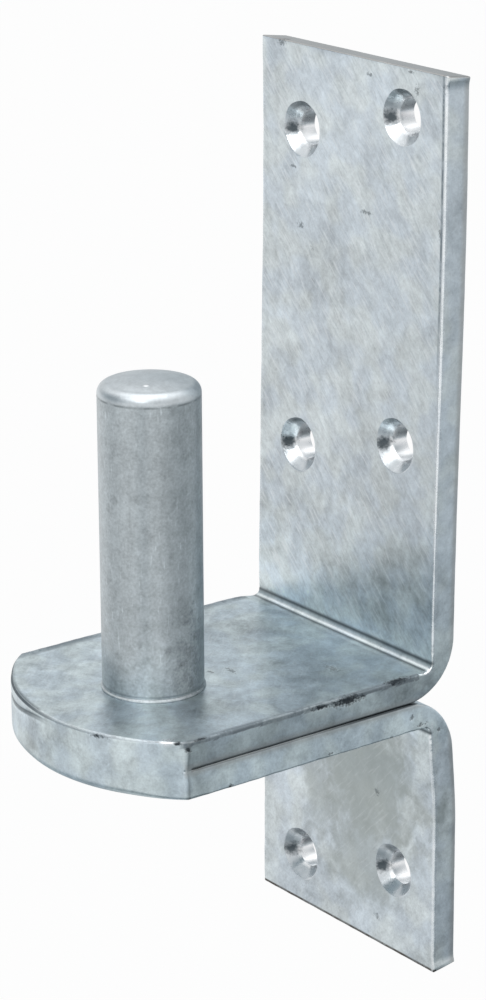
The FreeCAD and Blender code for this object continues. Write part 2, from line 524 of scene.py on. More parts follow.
# Screw holes: one countersink tool on every point of a staggered pattern, cut from the bar
def makeBarTree():
    tree, book, given = shapeTree("drilledBar", [
        ("Wave height", "NodeSocketFloat"),
        ("Wave size", "NodeSocketFloat"),
        ("Peel height", "NodeSocketFloat"),
        ("Peel size", "NodeSocketFloat"),
        ("Tool", "NodeSocketObject"),
        ("Hole count", "NodeSocketInt"),
        ("Column spacing", "NodeSocketFloat"),
        ("Column stagger", "NodeSocketFloat"),
        ("First row", "NodeSocketFloat"),
        ("Row pitch", "NodeSocketFloat"),
        ("Plate front", "NodeSocketFloat"),
        ("Lean", "NodeSocketFloat"),
        ("Finish", "NodeSocketMaterial"),
        ("Sink finish", "NodeSocketMaterial"),
    ])
    skin = zincSkin(book, given["Geometry"], given)
    count = book.node("GeometryNodeInputIndex")
    column = count.sum("MODULO", count, 2)
    row = count.sum("FLOOR", count / 2)
    x = (column - 0.5) * given["Column spacing"]
    z = given["First row"] + row * given["Row pitch"] + column * given["Column stagger"]
    y = given["Plate front"] + (z - given["First row"]) * given["Lean"]
    centre = book.node("ShaderNodeCombineXYZ", {}, x, y, z)
    points = book.node("GeometryNodePoints", {}, named={"Count": given["Hole count"], "Position": centre})
    tool = book.node("GeometryNodeObjectInfo", {}, named={"Object": given["Tool"]}, output="Geometry")
    spin = book.node(
        "FunctionNodeRandomValue",
        {"data_type": "FLOAT_VECTOR"},
        named={"Min": (0, 0, 0), "Max": (0, 2 * math.pi, 0), "Seed": 4},
    )
    tools = book.node(
        "GeometryNodeInstanceOnPoints",
        {},
        named={"Points": points, "Instance": tool, "Rotation": spin},
    )
    cutters = book.node("GeometryNodeRealizeInstances", {}, named={"Geometry": tools})
    cutters = book.node(
        "GeometryNodeStoreNamedAttribute",
        {"data_type": "FLOAT", "domain": "FACE"},
        named={"Geometry": cutters, "Name": "sunk", "Value": 1.0},
    )
    cut = book.node(
        "GeometryNodeMeshBoolean",
        {"operation": "DIFFERENCE", "solver": "EXACT"},
        named={"Mesh 1": skin, "Mesh 2": cutters},
        output="Mesh",
    )
    whole = book.node("GeometryNodeRealizeInstances", {}, named={"Geometry": cut})
    painted = book.node("GeometryNodeSetMaterial", {}, named={"Geometry": whole, "Material": given["Finish"]})
    sunk = book.node("GeometryNodeInputNamedAttribute", {"data_type": "FLOAT"}, named={"Name": "sunk"})
    painted = book.node(
        "GeometryNodeSetMaterial",
        {},
        named={"Geometry": painted, "Selection": sunk.sum("GREATER_THAN", sunk, 0.5), "Material": given["Sink finish"]},
    )
    closeTree(book, painted)
    return tree


# Centres of the first holes of the pattern, across and up
def holePlaces(count, first):
    places = []
    for n in range(count):
        row, column = divmod(n, 2)
        x = (column - 0.5) * holes["columnSpacing"]
        places.append((x, first + row * holes["upperPitch"] + column * holes["columnStagger"]))
    return places


# Where a point lies on the bar: across, along and through, and what the finish needs to know
# there: rolled front edge, cut end, a side's back half, brushed face, and painted shade and a
# painted highlight at the bend
def barPlaces(item, lean, flipped, holeCount, firstRow):
    mesh = item.data
    count = len(mesh.vertices)
    co = np.zeros(count * 3)
    mesh.vertices.foreach_get("co", co)
    co = co.reshape(-1, 3)
    x, y, z = co.T
    if flipped:
        z = 2 * seamZ - z
    half = bar["width"] / 2
    thick = bar["thickness"]
    corner = bar["frontY"] + leanAt(lean, z)
    onPlate = (z + y - corner) > 0
    along = np.where(onPlate, corner + z, y)
    through = np.where(onPlate, y - corner, -z)

    def keep(name, value):
        store = mesh.attributes.new(name, "FLOAT", "POINT")
        store.data.foreach_set("value", np.clip(value, 0, 1).astype(np.float32))

    def keepVector(name, *parts):
        store = mesh.attributes.new(name, "FLOAT_VECTOR", "POINT")
        store.data.foreach_set("vector", np.stack(parts, axis=1).ravel().astype(np.float32))

    keepVector("barPlace", x, along, through)
    normal = np.zeros(count * 3)
    mesh.vertices.foreach_get("normal", normal)
    normal = np.abs(normal.reshape(-1, 3))
    facing = np.where(onPlate, normal[:, 1], normal[:, 2])
    fromSide = half - np.abs(x)
    sideness = 1 - smooth(0.22 * mm, 0.50 * mm, fromSide)
    onFront = through < 0.6 * mm
    upper = 0.35 if flipped else 1.0
    keep("brushed", smooth(0.86, 0.98, facing) * (1 - sideness) * np.where(onPlate, upper, 0.40))
    keep("edge", (1 - smooth(0.2 * mm, 0.9 * mm, fromSide)) * onFront * onPlate)
    onEdge = (1 - smooth(0.25 * mm, 1.1 * mm, fromSide)) * (through < 0.8 * mm) * (1 - onPlate)
    keep("armEdge", onEdge * (y < corner - 2.6 * mm) * (0.0 if flipped else 1.0))
    front = bar["noseY"] + bar["noseSag"] * (x / half) ** 2
    rolling = smooth(0.15, 0.5, normal[:, 2]) * (1 - smooth(0.93, 0.995, normal[:, 2]))
    keep("noseEdge", rolling * (y < front + 2.2 * mm) * (through < 1.0 * mm) * (0.0 if flipped else 1.0))
    cornerY = bar["noseY"] + bar["noseSag"]
    # painted shade: a dark line just round the nose's right corner
    keep("cornerLine", np.exp(-(((y - cornerY - 0.25 * mm) / (0.20 * mm)) ** 2)) * (x > half - 0.9 * mm))
    keep("cutEnd", smooth(0.25, 0.6, normal[:, 2]) * onPlate * (z > z.max() - 1.6 * mm))
    keep("backStrip", sideness * smooth(0.72 * thick, 0.88 * thick, through))

    # painted shade: dark lines along the inner bend's crease
    inner = bar["bendInside"]
    crease = np.zeros(count)
    for lineY, lineZ, width, share in (
        (corner, 0.98 * inner, 0.36 * mm, 1.0),
        (corner - 0.72 * inner, 0.06 * mm, 0.30 * mm, 0.92),
    ):
        away = np.hypot(y - lineY, z - lineZ)
        crease = np.maximum(crease, share * np.exp(-((away / width) ** 2)))
    # painted highlight: a bright line along the inner bend
    polish = np.exp(-((np.hypot(y - corner + 0.24 * inner, z - 0.38 * inner) / (0.17 * mm)) ** 2))
    keep("polish", polish)

    # painted shade: the seam is a black line along the arms' sides, weaker towards the nose
    seamShadeStrength = 0.62 + 0.38 * smooth(12 * mm, 26 * mm, y)
    onSide = (fromSide < 1.3 * mm) * (y > cornerY + 0.6 * mm) * (y < corner + 2 * mm)
    keep("crease", crease)
    keep("onSeam", seamShadeStrength * onSide)
    fade = 1 - smooth(nose["beadStart"], nose["beadEnd"], x)
    onNose = (y < front + 2.2 * mm) * (1 - smooth(0.80, 0.97, normal[:, 2]))
    keep("onNose", fade * onNose * (0.0 if flipped else 1.0))

    # where a point lies in its screw hole
    z = co[:, 2]
    centres = np.array([place for place in holePlaces(count=holeCount, first=firstRow)])
    nearest = np.argmin(np.hypot(x[:, None] - centres[:, 0], z[:, None] - centres[:, 1]), axis=1)
    keepVector("sinkPlace", x - centres[nearest, 0], through, z - centres[nearest, 1])


def finishSurface(item, angle=34):
    mesh = item.data
    mesh.shade_smooth()
    mesh.set_sharp_from_angle(angle=math.radians(angle))


# Pits, knocks and bare patches on the bars: strength, then centre and reach in millimetres
marks = {
    "face pits": (0.50, (
        ((4.5, 38.8, 92.2), (0.9, 1.5, 0.30)),
        ((14.2, 38.8, 94.0), (0.6, 1.5, 0.28)),
        ((15.6, 38.8, 91.4), (0.6, 1.5, 0.90)),
        ((-14.4, 38.8, 74.7), (0.7, 1.5, 0.30)),
        ((3.7, 38.8, 70.5), (1.6, 1.5, 0.30)),
        ((-12.4, 38.8, 65.4), (0.7, 1.5, 0.60)),
        ((-9.3, 38.8, 62.2), (0.5, 1.5, 0.40)),
        ((21.4, 38.8, 70.3), (0.4, 1.5, 0.80)),
    )),
    "edge knocks": (0.95, (
        ((22.1, 38.6, 92.6), (0.6, 0.8, 1.1)),
        ((22.2, 30.9, -0.1), (1.1, 2.6, 0.60)),
        ((22.4, 20.8, -0.8), (0.9, 3.8, 0.95)),
        ((22.4, 15.6, -0.6), (0.7, 2.0, 0.50)),
        ((22.4, -7.4, -0.1), (0.45, 1.5, 0.22)),
        ((12.0, -18.9, -0.45), (2.2, 1.3, 0.45)),
        ((21.4, -10.9, -0.25), (0.65, 0.7, 0.35)),
        ((22.5, -9.8, -1.3), (0.7, 0.7, 0.60)),
        ((22.5, -1.9, -9.1), (0.7, 0.5, 0.40)),
    )),
    "arm specks": (0.50, (
        ((1.3, 10.2, 0.0), (0.9, 0.4, 1.0)),
        ((2.8, 13.1, 0.0), (1.4, 0.6, 1.0)),
        ((11.8, 26.3, 0.0), (1.8, 0.8, 1.0)),
    )),
    "side specks": (0.60, (
        ((22.3, 17.6, -8.9), (1.0, 0.6, 0.25)),
        ((22.3, 29.7, -9.3), (1.0, 0.5, 0.25)),
        ((22.3, 34.0, -7.0), (1.0, 0.5, 0.50)),
        ((22.3, 36.0, -8.6), (1.0, 1.2, 0.30)),
        ((22.3, 39.8, -10.4), (1.0, 0.5, 0.40)),
        ((-17.4, 39.6, 94.3), (1.0, 1.4, 0.80)),
    )),
    "lower specks": (0.40, (
        ((-12.2, 38.8, -18.6), (0.7, 1.5, 0.50)),
        ((-13.6, 38.8, -22.6), (0.5, 1.5, 0.40)),
        ((8.0, 38.8, -26.0), (0.7, 1.5, 0.70)),
        ((8.2, 38.8, -48.2), (0.8, 1.5, 0.50)),
    )),
}

# Painted highlights: a glint on the nose's top edge by its right corner and one on the arm's
# right top edge by the bend; centre and reach in millimetres
paintedGlints = (
    ((20.2, -12.05, -0.05), (1.30, 1.35, 0.70)),
    ((22.3, 36.9, 0.1), (0.6, 1.3, 0.7)),
)

# Painted light and shade on the bars, among some uneven zinc: broad, soft brighter and darker
# patches, such as a brighter top of the upper plate and darker places near the bend and on the arm
# by the pin; centre and reach in millimetres, and gain
lightAndShadeTones = (
    ((0, 38.8, 88), (40, 9, 22), 0.10),
    ((4, 38.8, 20), (40, 9, 15), -0.07),
    ((15, 38.8, 8), (16, 9, 12), -0.17),
    ((-8, 38.5, 4.0), (19, 9, 5), 0.20),
    ((9, 34.5, 0), (22, 7, 4), 0.24),
    ((-12, 24, 0), (9, 12, 2), -0.17),
    ((15, 0.5, 0), (6, 8, 2), -0.19),
    ((-4, -19, -4.7), (9, 8, 6), -0.14),
    ((17, -14, -4.7), (8, 8, 6), 0.07),
    ((-18, 38.8, -30), (9, 9, 18), 0.10),
    ((18, 38.8, -46), (12, 9, 10), 0.10),
    ((22.5, 20, -7.2), (1, 30, 2.2), 0.06),
    ((22.5, 33, -2), (1, 9, 3), -0.30),
    ((22.5, 41, -30), (1, 4, 26), 0.16),
    ((22.5, 41, 35), (1, 4, 35), 0.12),
)

# Painted shadow of the arms on the lower plate, as dull, greenish patches: centre and reach in
# millimetres, and share
armShadowPatches = (
    ((5.0, 38.8, -23), (15.5, 9, 15), 0.85),
    ((4.0, 38.8, -38), (10, 9, 10), 0.60),
    ((-7.0, 38.8, -31), (4.5, 9, 9), 0.55),
)


# How far a place is from a centre, in shares of a reach along each axis
def shareFrom(book, place, centre, reach):
    away = book.node("ShaderNodeVectorMath", {"operation": "SUBTRACT"}, place, tuple(c * mm for c in centre))
    share = book.node("ShaderNodeVectorMath", {"operation": "DIVIDE"}, away, tuple(r * mm for r in reach))
    return book.node("ShaderNodeVectorMath", {"operation": "LENGTH"}, share, output="Value")


# 1 within a mark, falling to 0 outside it, with a ragged edge
def spot(book, place, ragged, centre, reach):
    return 1 - book.step(shareFrom(book, place, centre, reach) + ragged, 0.30, 1.25)


# Hot zinc on steel bar: pale, mottled, scratched in handling, warm where it was sheared, with
# painted light and shade: highlights on edges and at the bend, shade in the crease, the seam, the
# nose's grooves and beside edges, and the arms' shadow on the lower plate
def plateZinc():
    material = bpy.data.materials.new("plate zinc")
    material.use_nodes = True
    book = NodeBook(material.node_tree)
    place = book.node("ShaderNodeTexCoord", output="Object")
    onBar = book.node("ShaderNodeAttribute", {"attribute_name": "barPlace"}, output="Vector")

    def known(name):
        return book.node("ShaderNodeAttribute", {"attribute_name": name}, output="Fac")

    brushed = known("brushed")
    across = book.node("ShaderNodeSeparateXYZ", {}, onBar, output="X")
    through = book.node("ShaderNodeSeparateXYZ", {}, onBar, output="Z")
    cloud = book.noise(place, 13 * mm, 2.0, 0.55)
    blotch = book.noise(book.stretch(place, (1, 1, 1), shift=(0.6, 0.2, 0.4)), 6 * mm, 3.0, 0.6, 0.5)
    hue = book.noise(book.stretch(place, (1, 1, 1), shift=(0.3, 0.1, 0.7)), 5.5 * mm, 1.0)
    mottle = book.noise(place, 2.8 * mm, 4.0, 0.62, 0.4)
    speck = book.noise(place, 0.62 * mm, 2.0, 0.6)
    grain = book.noise(place, 0.30 * mm, 1.0)
    slant = book.stretch(onBar, (1, 1, 1), (0, 0, math.radians(-46)))
    steep = book.stretch(onBar, (1, 1, 1), (0, 0, math.radians(-33)))
    stroke = book.noise(book.stretch(slant, (1, 0.36, 1)), 0.85 * mm, 2.0)
    brush = book.noise(book.stretch(onBar, (1, 0.42, 1), (0, 0, math.radians(-20))), 1.9 * mm, 2.0)
    scratchA = book.noise(book.stretch(slant, (1, 0.09, 1)), 0.42 * mm, 1.0)
    scratchB = book.noise(book.stretch(steep, (1, 0.08, 1)), 0.50 * mm, 1.0)
    scratches = book.step(scratchA, 0.58, 0.70).most(book.step(scratchB, 0.61, 0.73) * 0.8) * brushed
    scores = (1 - book.step(scratchA, 0.28, 0.40)).most(1 - book.step(scratchB, 0.26, 0.38)) * brushed
    ragged = (speck - 0.5) * 2.6 + (grain - 0.5) * 1.6 + 0.1
    spots = None
    for strength, group in marks.values():
        for centre, reach in group:
            one = spot(book, place, ragged * (1.5 - strength), centre, reach) * strength
            spots = one if spots is None else spots.most(one)
    # painted highlights: a bright line along the inner bend and the glints listed above
    paintedHighlight = known("polish") * (0.25 + book.step(mottle, 0.36, 0.60) * 0.55)
    for centre, reach in paintedGlints:
        paintedHighlight = paintedHighlight.most(spot(book, place, ragged * 0.3, centre, reach))
    height = book.node("ShaderNodeSeparateXYZ", {}, place, output="Z")
    low = 1 - book.step(height, -12 * mm, 30 * mm)
    cool = low * book.step(height, -15 * mm, -9 * mm)
    mild = 0.90 + low * 0.25
    tone = (cloud - 0.5) * 0.60 + (blotch - 0.5) * 0.50 + (mottle - 0.5) * 0.72
    tone = tone + (speck - 0.5) * 0.34 + (grain - 0.5) * 0.22
    tone = tone + ((stroke - 0.5) * 0.40 + (brush - 0.5) * 0.30) * brushed
    tone = tone * mild
    # painted light and shade, as broad soft patches
    for centre, reach, gain in lightAndShadeTones:
        away = shareFrom(book, place, centre, reach) + (blotch - 0.5) * 0.5
        tone = tone + (1 - book.step(away, 0.15, 1.1)) * gain
    # painted shadow of the arms on the lower plate
    armShadowPatch = None
    for centre, reach, share in armShadowPatches:
        away = shareFrom(book, place, centre, reach) + (blotch - 0.5) * 1.2 + (mottle - 0.5) * 0.8
        one = (1 - book.step(away, 0.45, 1.30)) * share
        armShadowPatch = one if armShadowPatch is None else armShadowPatch.most(one)
    darkFlecks = book.step(mottle, 0.62, 0.78) * book.step(cloud, 0.44, 0.60)
    patchy = book.step(blotch + (speck - 0.5) * 0.5, 0.36, 0.60)
    # darker, mottled along the upper arm's top edges: partly dirt, partly painted shade in place of their highlight
    armEdgeDirtAndShade = known("armEdge") * (0.60 + patchy * 0.35)
    # darker along the upper nose's rounded top edge
    noseEdgeDark = known("noseEdge") * (0.45 + patchy * 0.40)
    onFront = 1 - book.step(through, 0.45 * mm, 0.70 * mm)
    # painted shade: a dark line just inside the upper plate's right front edge, high on the plate
    edgeShade = book.band(across, bar["width"] / 2 - 0.72 * mm, 0.36 * mm) * onFront
    edgeShade = edgeShade * book.step(height, 42 * mm, 64 * mm)
    endLine = book.band(height, lowerLow.z - 0.36 * mm, 0.42 * mm) * onFront
    # painted shade in the grooves under the zinc beads on the nose
    lowerLine = 1.05 * mm - book.step(0 - across, 0, 13 * mm) * nose["lowerDip"]
    noseGrooveShade = book.band(through, 0.10 * mm, 0.34 * mm).most(book.band(through, lowerLine, 0.50 * mm))
    noseGrooveShade = noseGrooveShade * known("onNose")
    # painted shade: a black line along the seam between the arms
    seamLine = book.band(height, seamZ, 0.44 * mm) * known("onSeam")
    # painted highlight: a thin light line along the plates' right front edge
    edgeHighlight = book.band(across, bar["width"] / 2 - 0.26 * mm, 0.34 * mm) * known("edge") * (0.30 + patchy * 0.35)
    base = book.mix(book.step(hue, 0.38, 0.62), (0.600, 0.655, 0.700, 1), (0.648, 0.694, 0.706, 1))
    base = book.mix(cool * 0.8, base, book.mix(1.0, base, (0.955, 1.012, 1.022, 1), "MULTIPLY"))
    shade = book.node("ShaderNodeCombineColor", {}, 1 + tone, 1 + tone, 1 + tone)
    base = book.mix(1.0, base, shade, "MULTIPLY")
    # painted shadow of the arms on the lower plate
    base = book.mix(armShadowPatch, base, book.mix(mottle, (0.350, 0.385, 0.372, 1), (0.462, 0.500, 0.488, 1)))
    base = book.mix(darkFlecks * 0.30, base, (0.40, 0.44, 0.46, 1))
    base = book.mix(scores * 0.26, base, (0.36, 0.41, 0.44, 1))
    base = book.mix(scratches * 0.38, base, (0.84, 0.87, 0.89, 1))
    base = book.mix(known("backStrip") * 0.55, base, (0.43, 0.425, 0.41, 1))
    # painted shade beside the plate's right front edge
    base = book.mix(edgeShade * (0.50 + patchy * 0.45), base, (0.20, 0.24, 0.27, 1))
    base = book.mix(known("cutEnd") * 0.90, base, book.mix(blotch, (0.36, 0.345, 0.335, 1), (0.46, 0.45, 0.44, 1)))
    # dirt and painted shade along the upper arm's top edges
    base = book.mix(armEdgeDirtAndShade, base, (0.20, 0.235, 0.26, 1))
    base = book.mix(noseEdgeDark, base, (0.34, 0.37, 0.39, 1))
    # painted shade round the nose's right corner
    base = book.mix(known("cornerLine") * 0.65, base, (0.22, 0.25, 0.26, 1))
    base = book.mix(endLine * (0.70 + patchy * 0.3), base, (0.09, 0.075, 0.065, 1))
    # painted shade in the nose's grooves
    base = book.mix(noseGrooveShade * 0.88, base, (0.09, 0.115, 0.13, 1))
    base = book.mix(seamLine * 0.95, base, (0.045, 0.055, 0.062, 1))
    # painted highlight along the right front edge
    base = book.mix(edgeHighlight, base, (0.90, 0.92, 0.94, 1))
    # painted shade in the bend's crease
    base = book.mix(known("crease") * 0.88, base, (0.070, 0.085, 0.095, 1))
    # painted highlights
    base = book.mix(paintedHighlight * 0.92, base, (0.93, 0.95, 0.97, 1))
    base = book.mix(spots, base, (0.030, 0.037, 0.044, 1))
    dull = armEdgeDirtAndShade.most(noseEdgeDark).most(spots)
    rough = 0.34 + (mottle - 0.5) * 0.24 + (cloud - 0.5) * 0.08 - known("edge") * 0.08 + dull * 0.3 - paintedHighlight * 0.12
    relief = mottle * 0.5 + speck * 0.25 + grain * 0.15 + stroke * brushed * 0.2 - scratches * 0.35 - spots * 1.2
    bump = book.node("ShaderNodeBump", {}, named={"Strength": 0.6, "Distance": 0.06 * mm, "Height": relief})
    shader = book.node(
        "ShaderNodeBsdfPrincipled",
        {},
        named={"Base Color": base, "Metallic": 1.0, "Roughness": rough, "Normal": bump},
    )
    book.node("ShaderNodeOutputMaterial", {}, shader)
    return material


# The sinks were cut before the dip: a brighter, lumpier zinc, with painted light and shade: a
# dark painted reflection in one place of each sink, painted shade along its upper rim, painted
# highlights along the hole's rim and on the upper cone, and a bore wall painted dark low and white high
def sinkZinc():
    material = bpy.data.materials.new("sink zinc")
    material.use_nodes = True
    book = NodeBook(material.node_tree)
    place = book.node("ShaderNodeTexCoord", output="Object")
    local = book.node("ShaderNodeAttribute", {"attribute_name": "sinkPlace"}, output="Vector")
    across = book.node("ShaderNodeSeparateXYZ", {}, local, output="X")
    depth = book.node("ShaderNodeSeparateXYZ", {}, local, output="Y")
    up = book.node("ShaderNodeSeparateXYZ", {}, local, output="Z")
    height = book.node("ShaderNodeSeparateXYZ", {}, place, output="Z")
    radius = (across * across + up * up) ** 0.5
    lump = book.noise(place, 2.2 * mm, 2.0, 0.5, 0.3)
    grain = book.noise(place, 0.45 * mm, 2.0)
    ragged = (grain - 0.5) * 1.2 + (lump - 0.5) * 1.0
    onWall = book.step(depth, 1.8 * mm, 2.2 * mm)
    # painted reflection: a dark spot in one place of each sink
    darkReflection = spot(book, local, ragged * 0.7, (-3.7, 0.9, -0.6), (1.5, 1.8, 1.35))
    # painted shade along the upper rim of each sink
    overhead = book.step(up / radius + (grain - 0.5) * 0.3, 0.50, 0.78) * book.step(radius, 3.45 * mm, 3.9 * mm)
    overhead = overhead * (0.25 + 0.75 * book.step(height, -5 * mm, 10 * mm))
    # painted highlight along the hole's rim
    rim = book.step(radius, 2.60 * mm, 2.72 * mm) * (1 - book.step(radius, 2.85 * mm, 3.15 * mm))
    # painted light on the upper part of the cone, near the hole
    upperConeLight = book.step(up / radius, 0.10, 0.55) * (1 - book.step(radius, 3.3 * mm, 3.7 * mm))
    # painted light and shade on the bore's wall: dark low, white high
    wallLightAndShade = book.mix(book.step(up, -1.6 * mm, 0.6 * mm), (0.38, 0.42, 0.45, 1), (0.60, 0.59, 0.61, 1))
    wallLightAndShade = book.mix(book.step(up, 0.7 * mm, 1.6 * mm), wallLightAndShade, (0.95, 0.96, 0.97, 1))
    base = book.mix(lump, (0.56, 0.60, 0.63, 1), (0.76, 0.79, 0.81, 1))
    base = book.mix(upperConeLight * 0.85, base, (0.93, 0.95, 0.96, 1))
    base = book.mix(onWall * 0.9, base, wallLightAndShade)
    # painted highlight on the hole's rim
    base = book.mix(rim * 0.75, base, (0.96, 0.97, 0.98, 1))
    # painted shade on the sink's upper rim
    base = book.mix(overhead * 0.72, base, (0.17, 0.19, 0.20, 1))
    # painted dark reflection
    base = book.mix(darkReflection * 0.92, base, (0.035, 0.050, 0.060, 1))
    rough = 0.30 + (grain - 0.5) * 0.20
    relief = lump + grain * 0.30
    bump = book.node("ShaderNodeBump", {}, named={"Strength": 0.5, "Distance": 0.10 * mm, "Height": relief})
    shader = book.node(
        "ShaderNodeBsdfPrincipled",
        {},
        named={"Base Color": base, "Metallic": 1.0, "Roughness": rough, "Normal": bump},
    )
    book.node("ShaderNodeOutputMaterial", {}, shader)
    return material


# Faint bare patches on the pin, in millimetres
pinMarks = (
    ((7.8, 1.8, 13.9), (1.0, 0.45, 0.5)),
    ((-4.2, -6.8, 41.6), (0.5, 0.5, 0.7)),
)

# Painted light and shade on the pin, as broad soft patches: darker low on its right, lighter on
# its front; centre and reach in millimetres, and gain
pinLightAndShade = (
    ((7.6, 2.4, 4), (6.0, 6.0, 13), -0.34),
    ((-2.0, -7.7, 28), (5.0, 5.0, 30), 0.08),
    ((6.2, -5.0, 18), (4.0, 4.0, 12), 0.05),
)


# The turned pin: a greyer, even satin with faint dark spots, and painted light and shade: broad
# patches, a dark line under the crown's rounding and a glint on a small nub
def pinZinc():
    material = bpy.data.materials.new("pin zinc")
    material.use_nodes = True
    book = NodeBook(material.node_tree)
    place = book.node("ShaderNodeTexCoord", output="Object")
    cloud = book.noise(place, 9 * mm, 2.0)
    mottle = book.noise(place, 1.9 * mm, 4.0, 0.62, 0.3)
    grain = book.noise(place, 0.42 * mm, 2.0)
    streak = book.noise(book.stretch(place, (1, 1, 0.12)), 0.8 * mm, 2.0)
    flecks = book.step(book.noise(place, 2.3 * mm, 2.0, 0.5), 0.60, 0.74)
    nick = book.noise(book.stretch(place, (1, 1, 0.16), (math.radians(50), math.radians(30), 0)), 0.5 * mm, 1.0)
    nicks = book.step(nick, 0.66, 0.78)
    ragged = (mottle - 0.5) * 2.4 + (grain - 0.5) * 1.6
    spots = None
    for centre, reach in pinMarks:
        one = spot(book, place, ragged, centre, reach)
        spots = one if spots is None else spots.most(one)
    height = book.node("ShaderNodeSeparateXYZ", {}, place, output="Z")
    foot = book.step(height, 0.62 * mm, 0.78 * mm) * (1 - book.step(height, 0.85 * mm, 1.15 * mm))
    tone = (cloud - 0.5) * 0.30 + (mottle - 0.5) * 0.74 + (grain - 0.5) * 0.60 + (streak - 0.5) * 0.12
    tone = tone - flecks * 0.17 + nicks * 0.26
    for centre, reach, gain in pinLightAndShade:
        away = shareFrom(book, place, centre, reach) + (mottle - 0.5) * 0.6
        tone = tone + (1 - book.step(away, 0.2, 1.15)) * gain
    shade = book.node("ShaderNodeCombineColor", {}, 1 + tone, 1 + tone, 1 + tone)
    base = book.mix(1.0, (0.440, 0.480, 0.500, 1), shade, "MULTIPLY")
    crown = book.step(height, 47.3 * mm, 47.9 * mm)
    base = book.mix(crown * 0.5, base, (0.640, 0.680, 0.710, 1))
    # painted shade: a thin ragged dark line just under the crown's rounding
    burr = book.step(height, 47.05 * mm, 47.30 * mm) * (1 - book.step(height, 47.35 * mm, 47.62 * mm))
    base = book.mix(burr * book.step(mottle, 0.36, 0.60) * 0.7, base, (0.16, 0.18, 0.19, 1))
    # a small nub on the crown, painted bright as a glint
    nibAndGlint = spot(book, place, ragged * 0.2, (2.9, -2.6, 49.8), (0.44, 0.44, 1.0))
    base = book.mix(nibAndGlint * 0.9, base, (0.95, 0.96, 0.97, 1))
    base = book.mix(spots * 0.42, base, (0.13, 0.15, 0.16, 1))
    base = book.mix(foot * 0.5, base, (0.15, 0.17, 0.18, 1))
    rough = 0.39 + (mottle - 0.5) * 0.16
    relief = mottle * 0.5 + grain * 0.3 + streak * 0.1 - spots * 0.8 + nibAndGlint * 1.5
    bump = book.node("ShaderNodeBump", {}, named={"Strength": 0.55, "Distance": 0.05 * mm, "Height": relief})
    shader = book.node(
        "ShaderNodeBsdfPrincipled",
        {},
        named={"Base Color": base, "Metallic": 1.0, "Roughness": rough, "Normal": bump},
    )
    book.node("ShaderNodeOutputMaterial", {}, shader)
    return material


plateFinish = plateZinc()
sinkFinish = sinkZinc()
pinFinish = pinZinc()
print("finishes made")


# Countersink tool: a turned cutter laid along +Y, with its face plane at y = 0
def sinkTool():
    clear = 1.0 * mm
    lip = holes["lip"]
    depth = holes["sinkRadius"] - holes["radius"]
    lipReach = lip * math.tan(math.radians(22.5))
    rimR = holes["sinkRadius"] + lipReach * 0.2
    section = [(0, clear), (rimR + clear * 0.3, clear)]
    centre = (holes["sinkRadius"] + lipReach, -lip)
    section += arcPoints(centre[0], centre[1], lip, 80, 135, 6)
    section += [(holes["sinkRadius"] - depth * t, -depth * t) for t in (0.3, 0.5, 0.7, 0.9)]
    section += [(holes["radius"], -depth * 1.04), (holes["radius"], -depth * 1.3)]
    section += [(holes["radius"], -bar["thickness"] - clear), (0, -bar["thickness"] - clear)]
    tool = turned("sinkTool", section, 72, holes["wobble"])
    tool.data.transform(Matrix.Rotation(math.radians(90), 4, "X"))
    return tool


def skinValues(scale=1.0):
    return {
        "Wave height": zinc["waveHeight"] * scale,
        "Wave size": zinc["waveSize"],
        "Peel height": zinc["peelHeight"] * scale,
        "Peel size": zinc["peelSize"],
    }


drilledBar = makeBarTree()
zincSkinTree = makeSkinTree()
tool = sinkTool()


def drillValues(count, firstRow, lean, heights):
    first, last = (leanAt(lean, z) for z in heights)
    return {
        "Tool": tool,
        "Hole count": count,
        "Column spacing": holes["columnSpacing"],
        "Column stagger": holes["columnStagger"],
        "First row": firstRow,
        "Row pitch": holes["upperPitch"],
        "Plate front": bar["frontY"] + first,
        "Lean": (last - first) / (heights[1] - heights[0]),
        "Finish": plateFinish,
        "Sink finish": sinkFinish,
        **skinValues(),
    }


def upperBracket():
    beads = (nose["upperGroove"], nose["lowerGroove"])
    item = bentBar("upperBracket", upperHigh.z, upperLean, nose["topLeft"], nose["topRight"], nose["seam"], beads, 1)
    first = holes["upperFirst"]
    last = first + holes["upperPitch"] + holes["columnStagger"]
    shapeBy(item, drilledBar, drillValues(4, first, upperLean, (first, last)))
    barPlaces(item, upperLean, False, 4, first)
    finishSurface(item)
    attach(item, "root")
    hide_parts("upper_bracket")
    return item


# The lower bracket is the same bend turned over about the seam, with a shorter plate
def lowerBracket():
    drop = 2 * seamZ - lowerLow.z
    item = bentBar("lowerBracket", drop, lowerLean, nose["bottomLeft"], nose["bottomRight"], nose["seam"], (), 2)
    item.data.transform(Matrix.Translation((0, 0, 2 * seamZ)) @ Matrix.Scale(-1, 4, (0, 0, 1)))
    item.data.flip_normals()
    first = drop - holes["lowerFirst"]
    heights = (first, first - holes["columnStagger"])
    shapeBy(item, drilledBar, drillValues(2, lowerLow.z + holes["lowerFirst"], lowerLean, heights))
    barPlaces(item, lowerLean, True, 2, lowerLow.z + holes["lowerFirst"])
    finishSurface(item)
    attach(item, "root")
    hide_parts("lower_bracket")
    return item


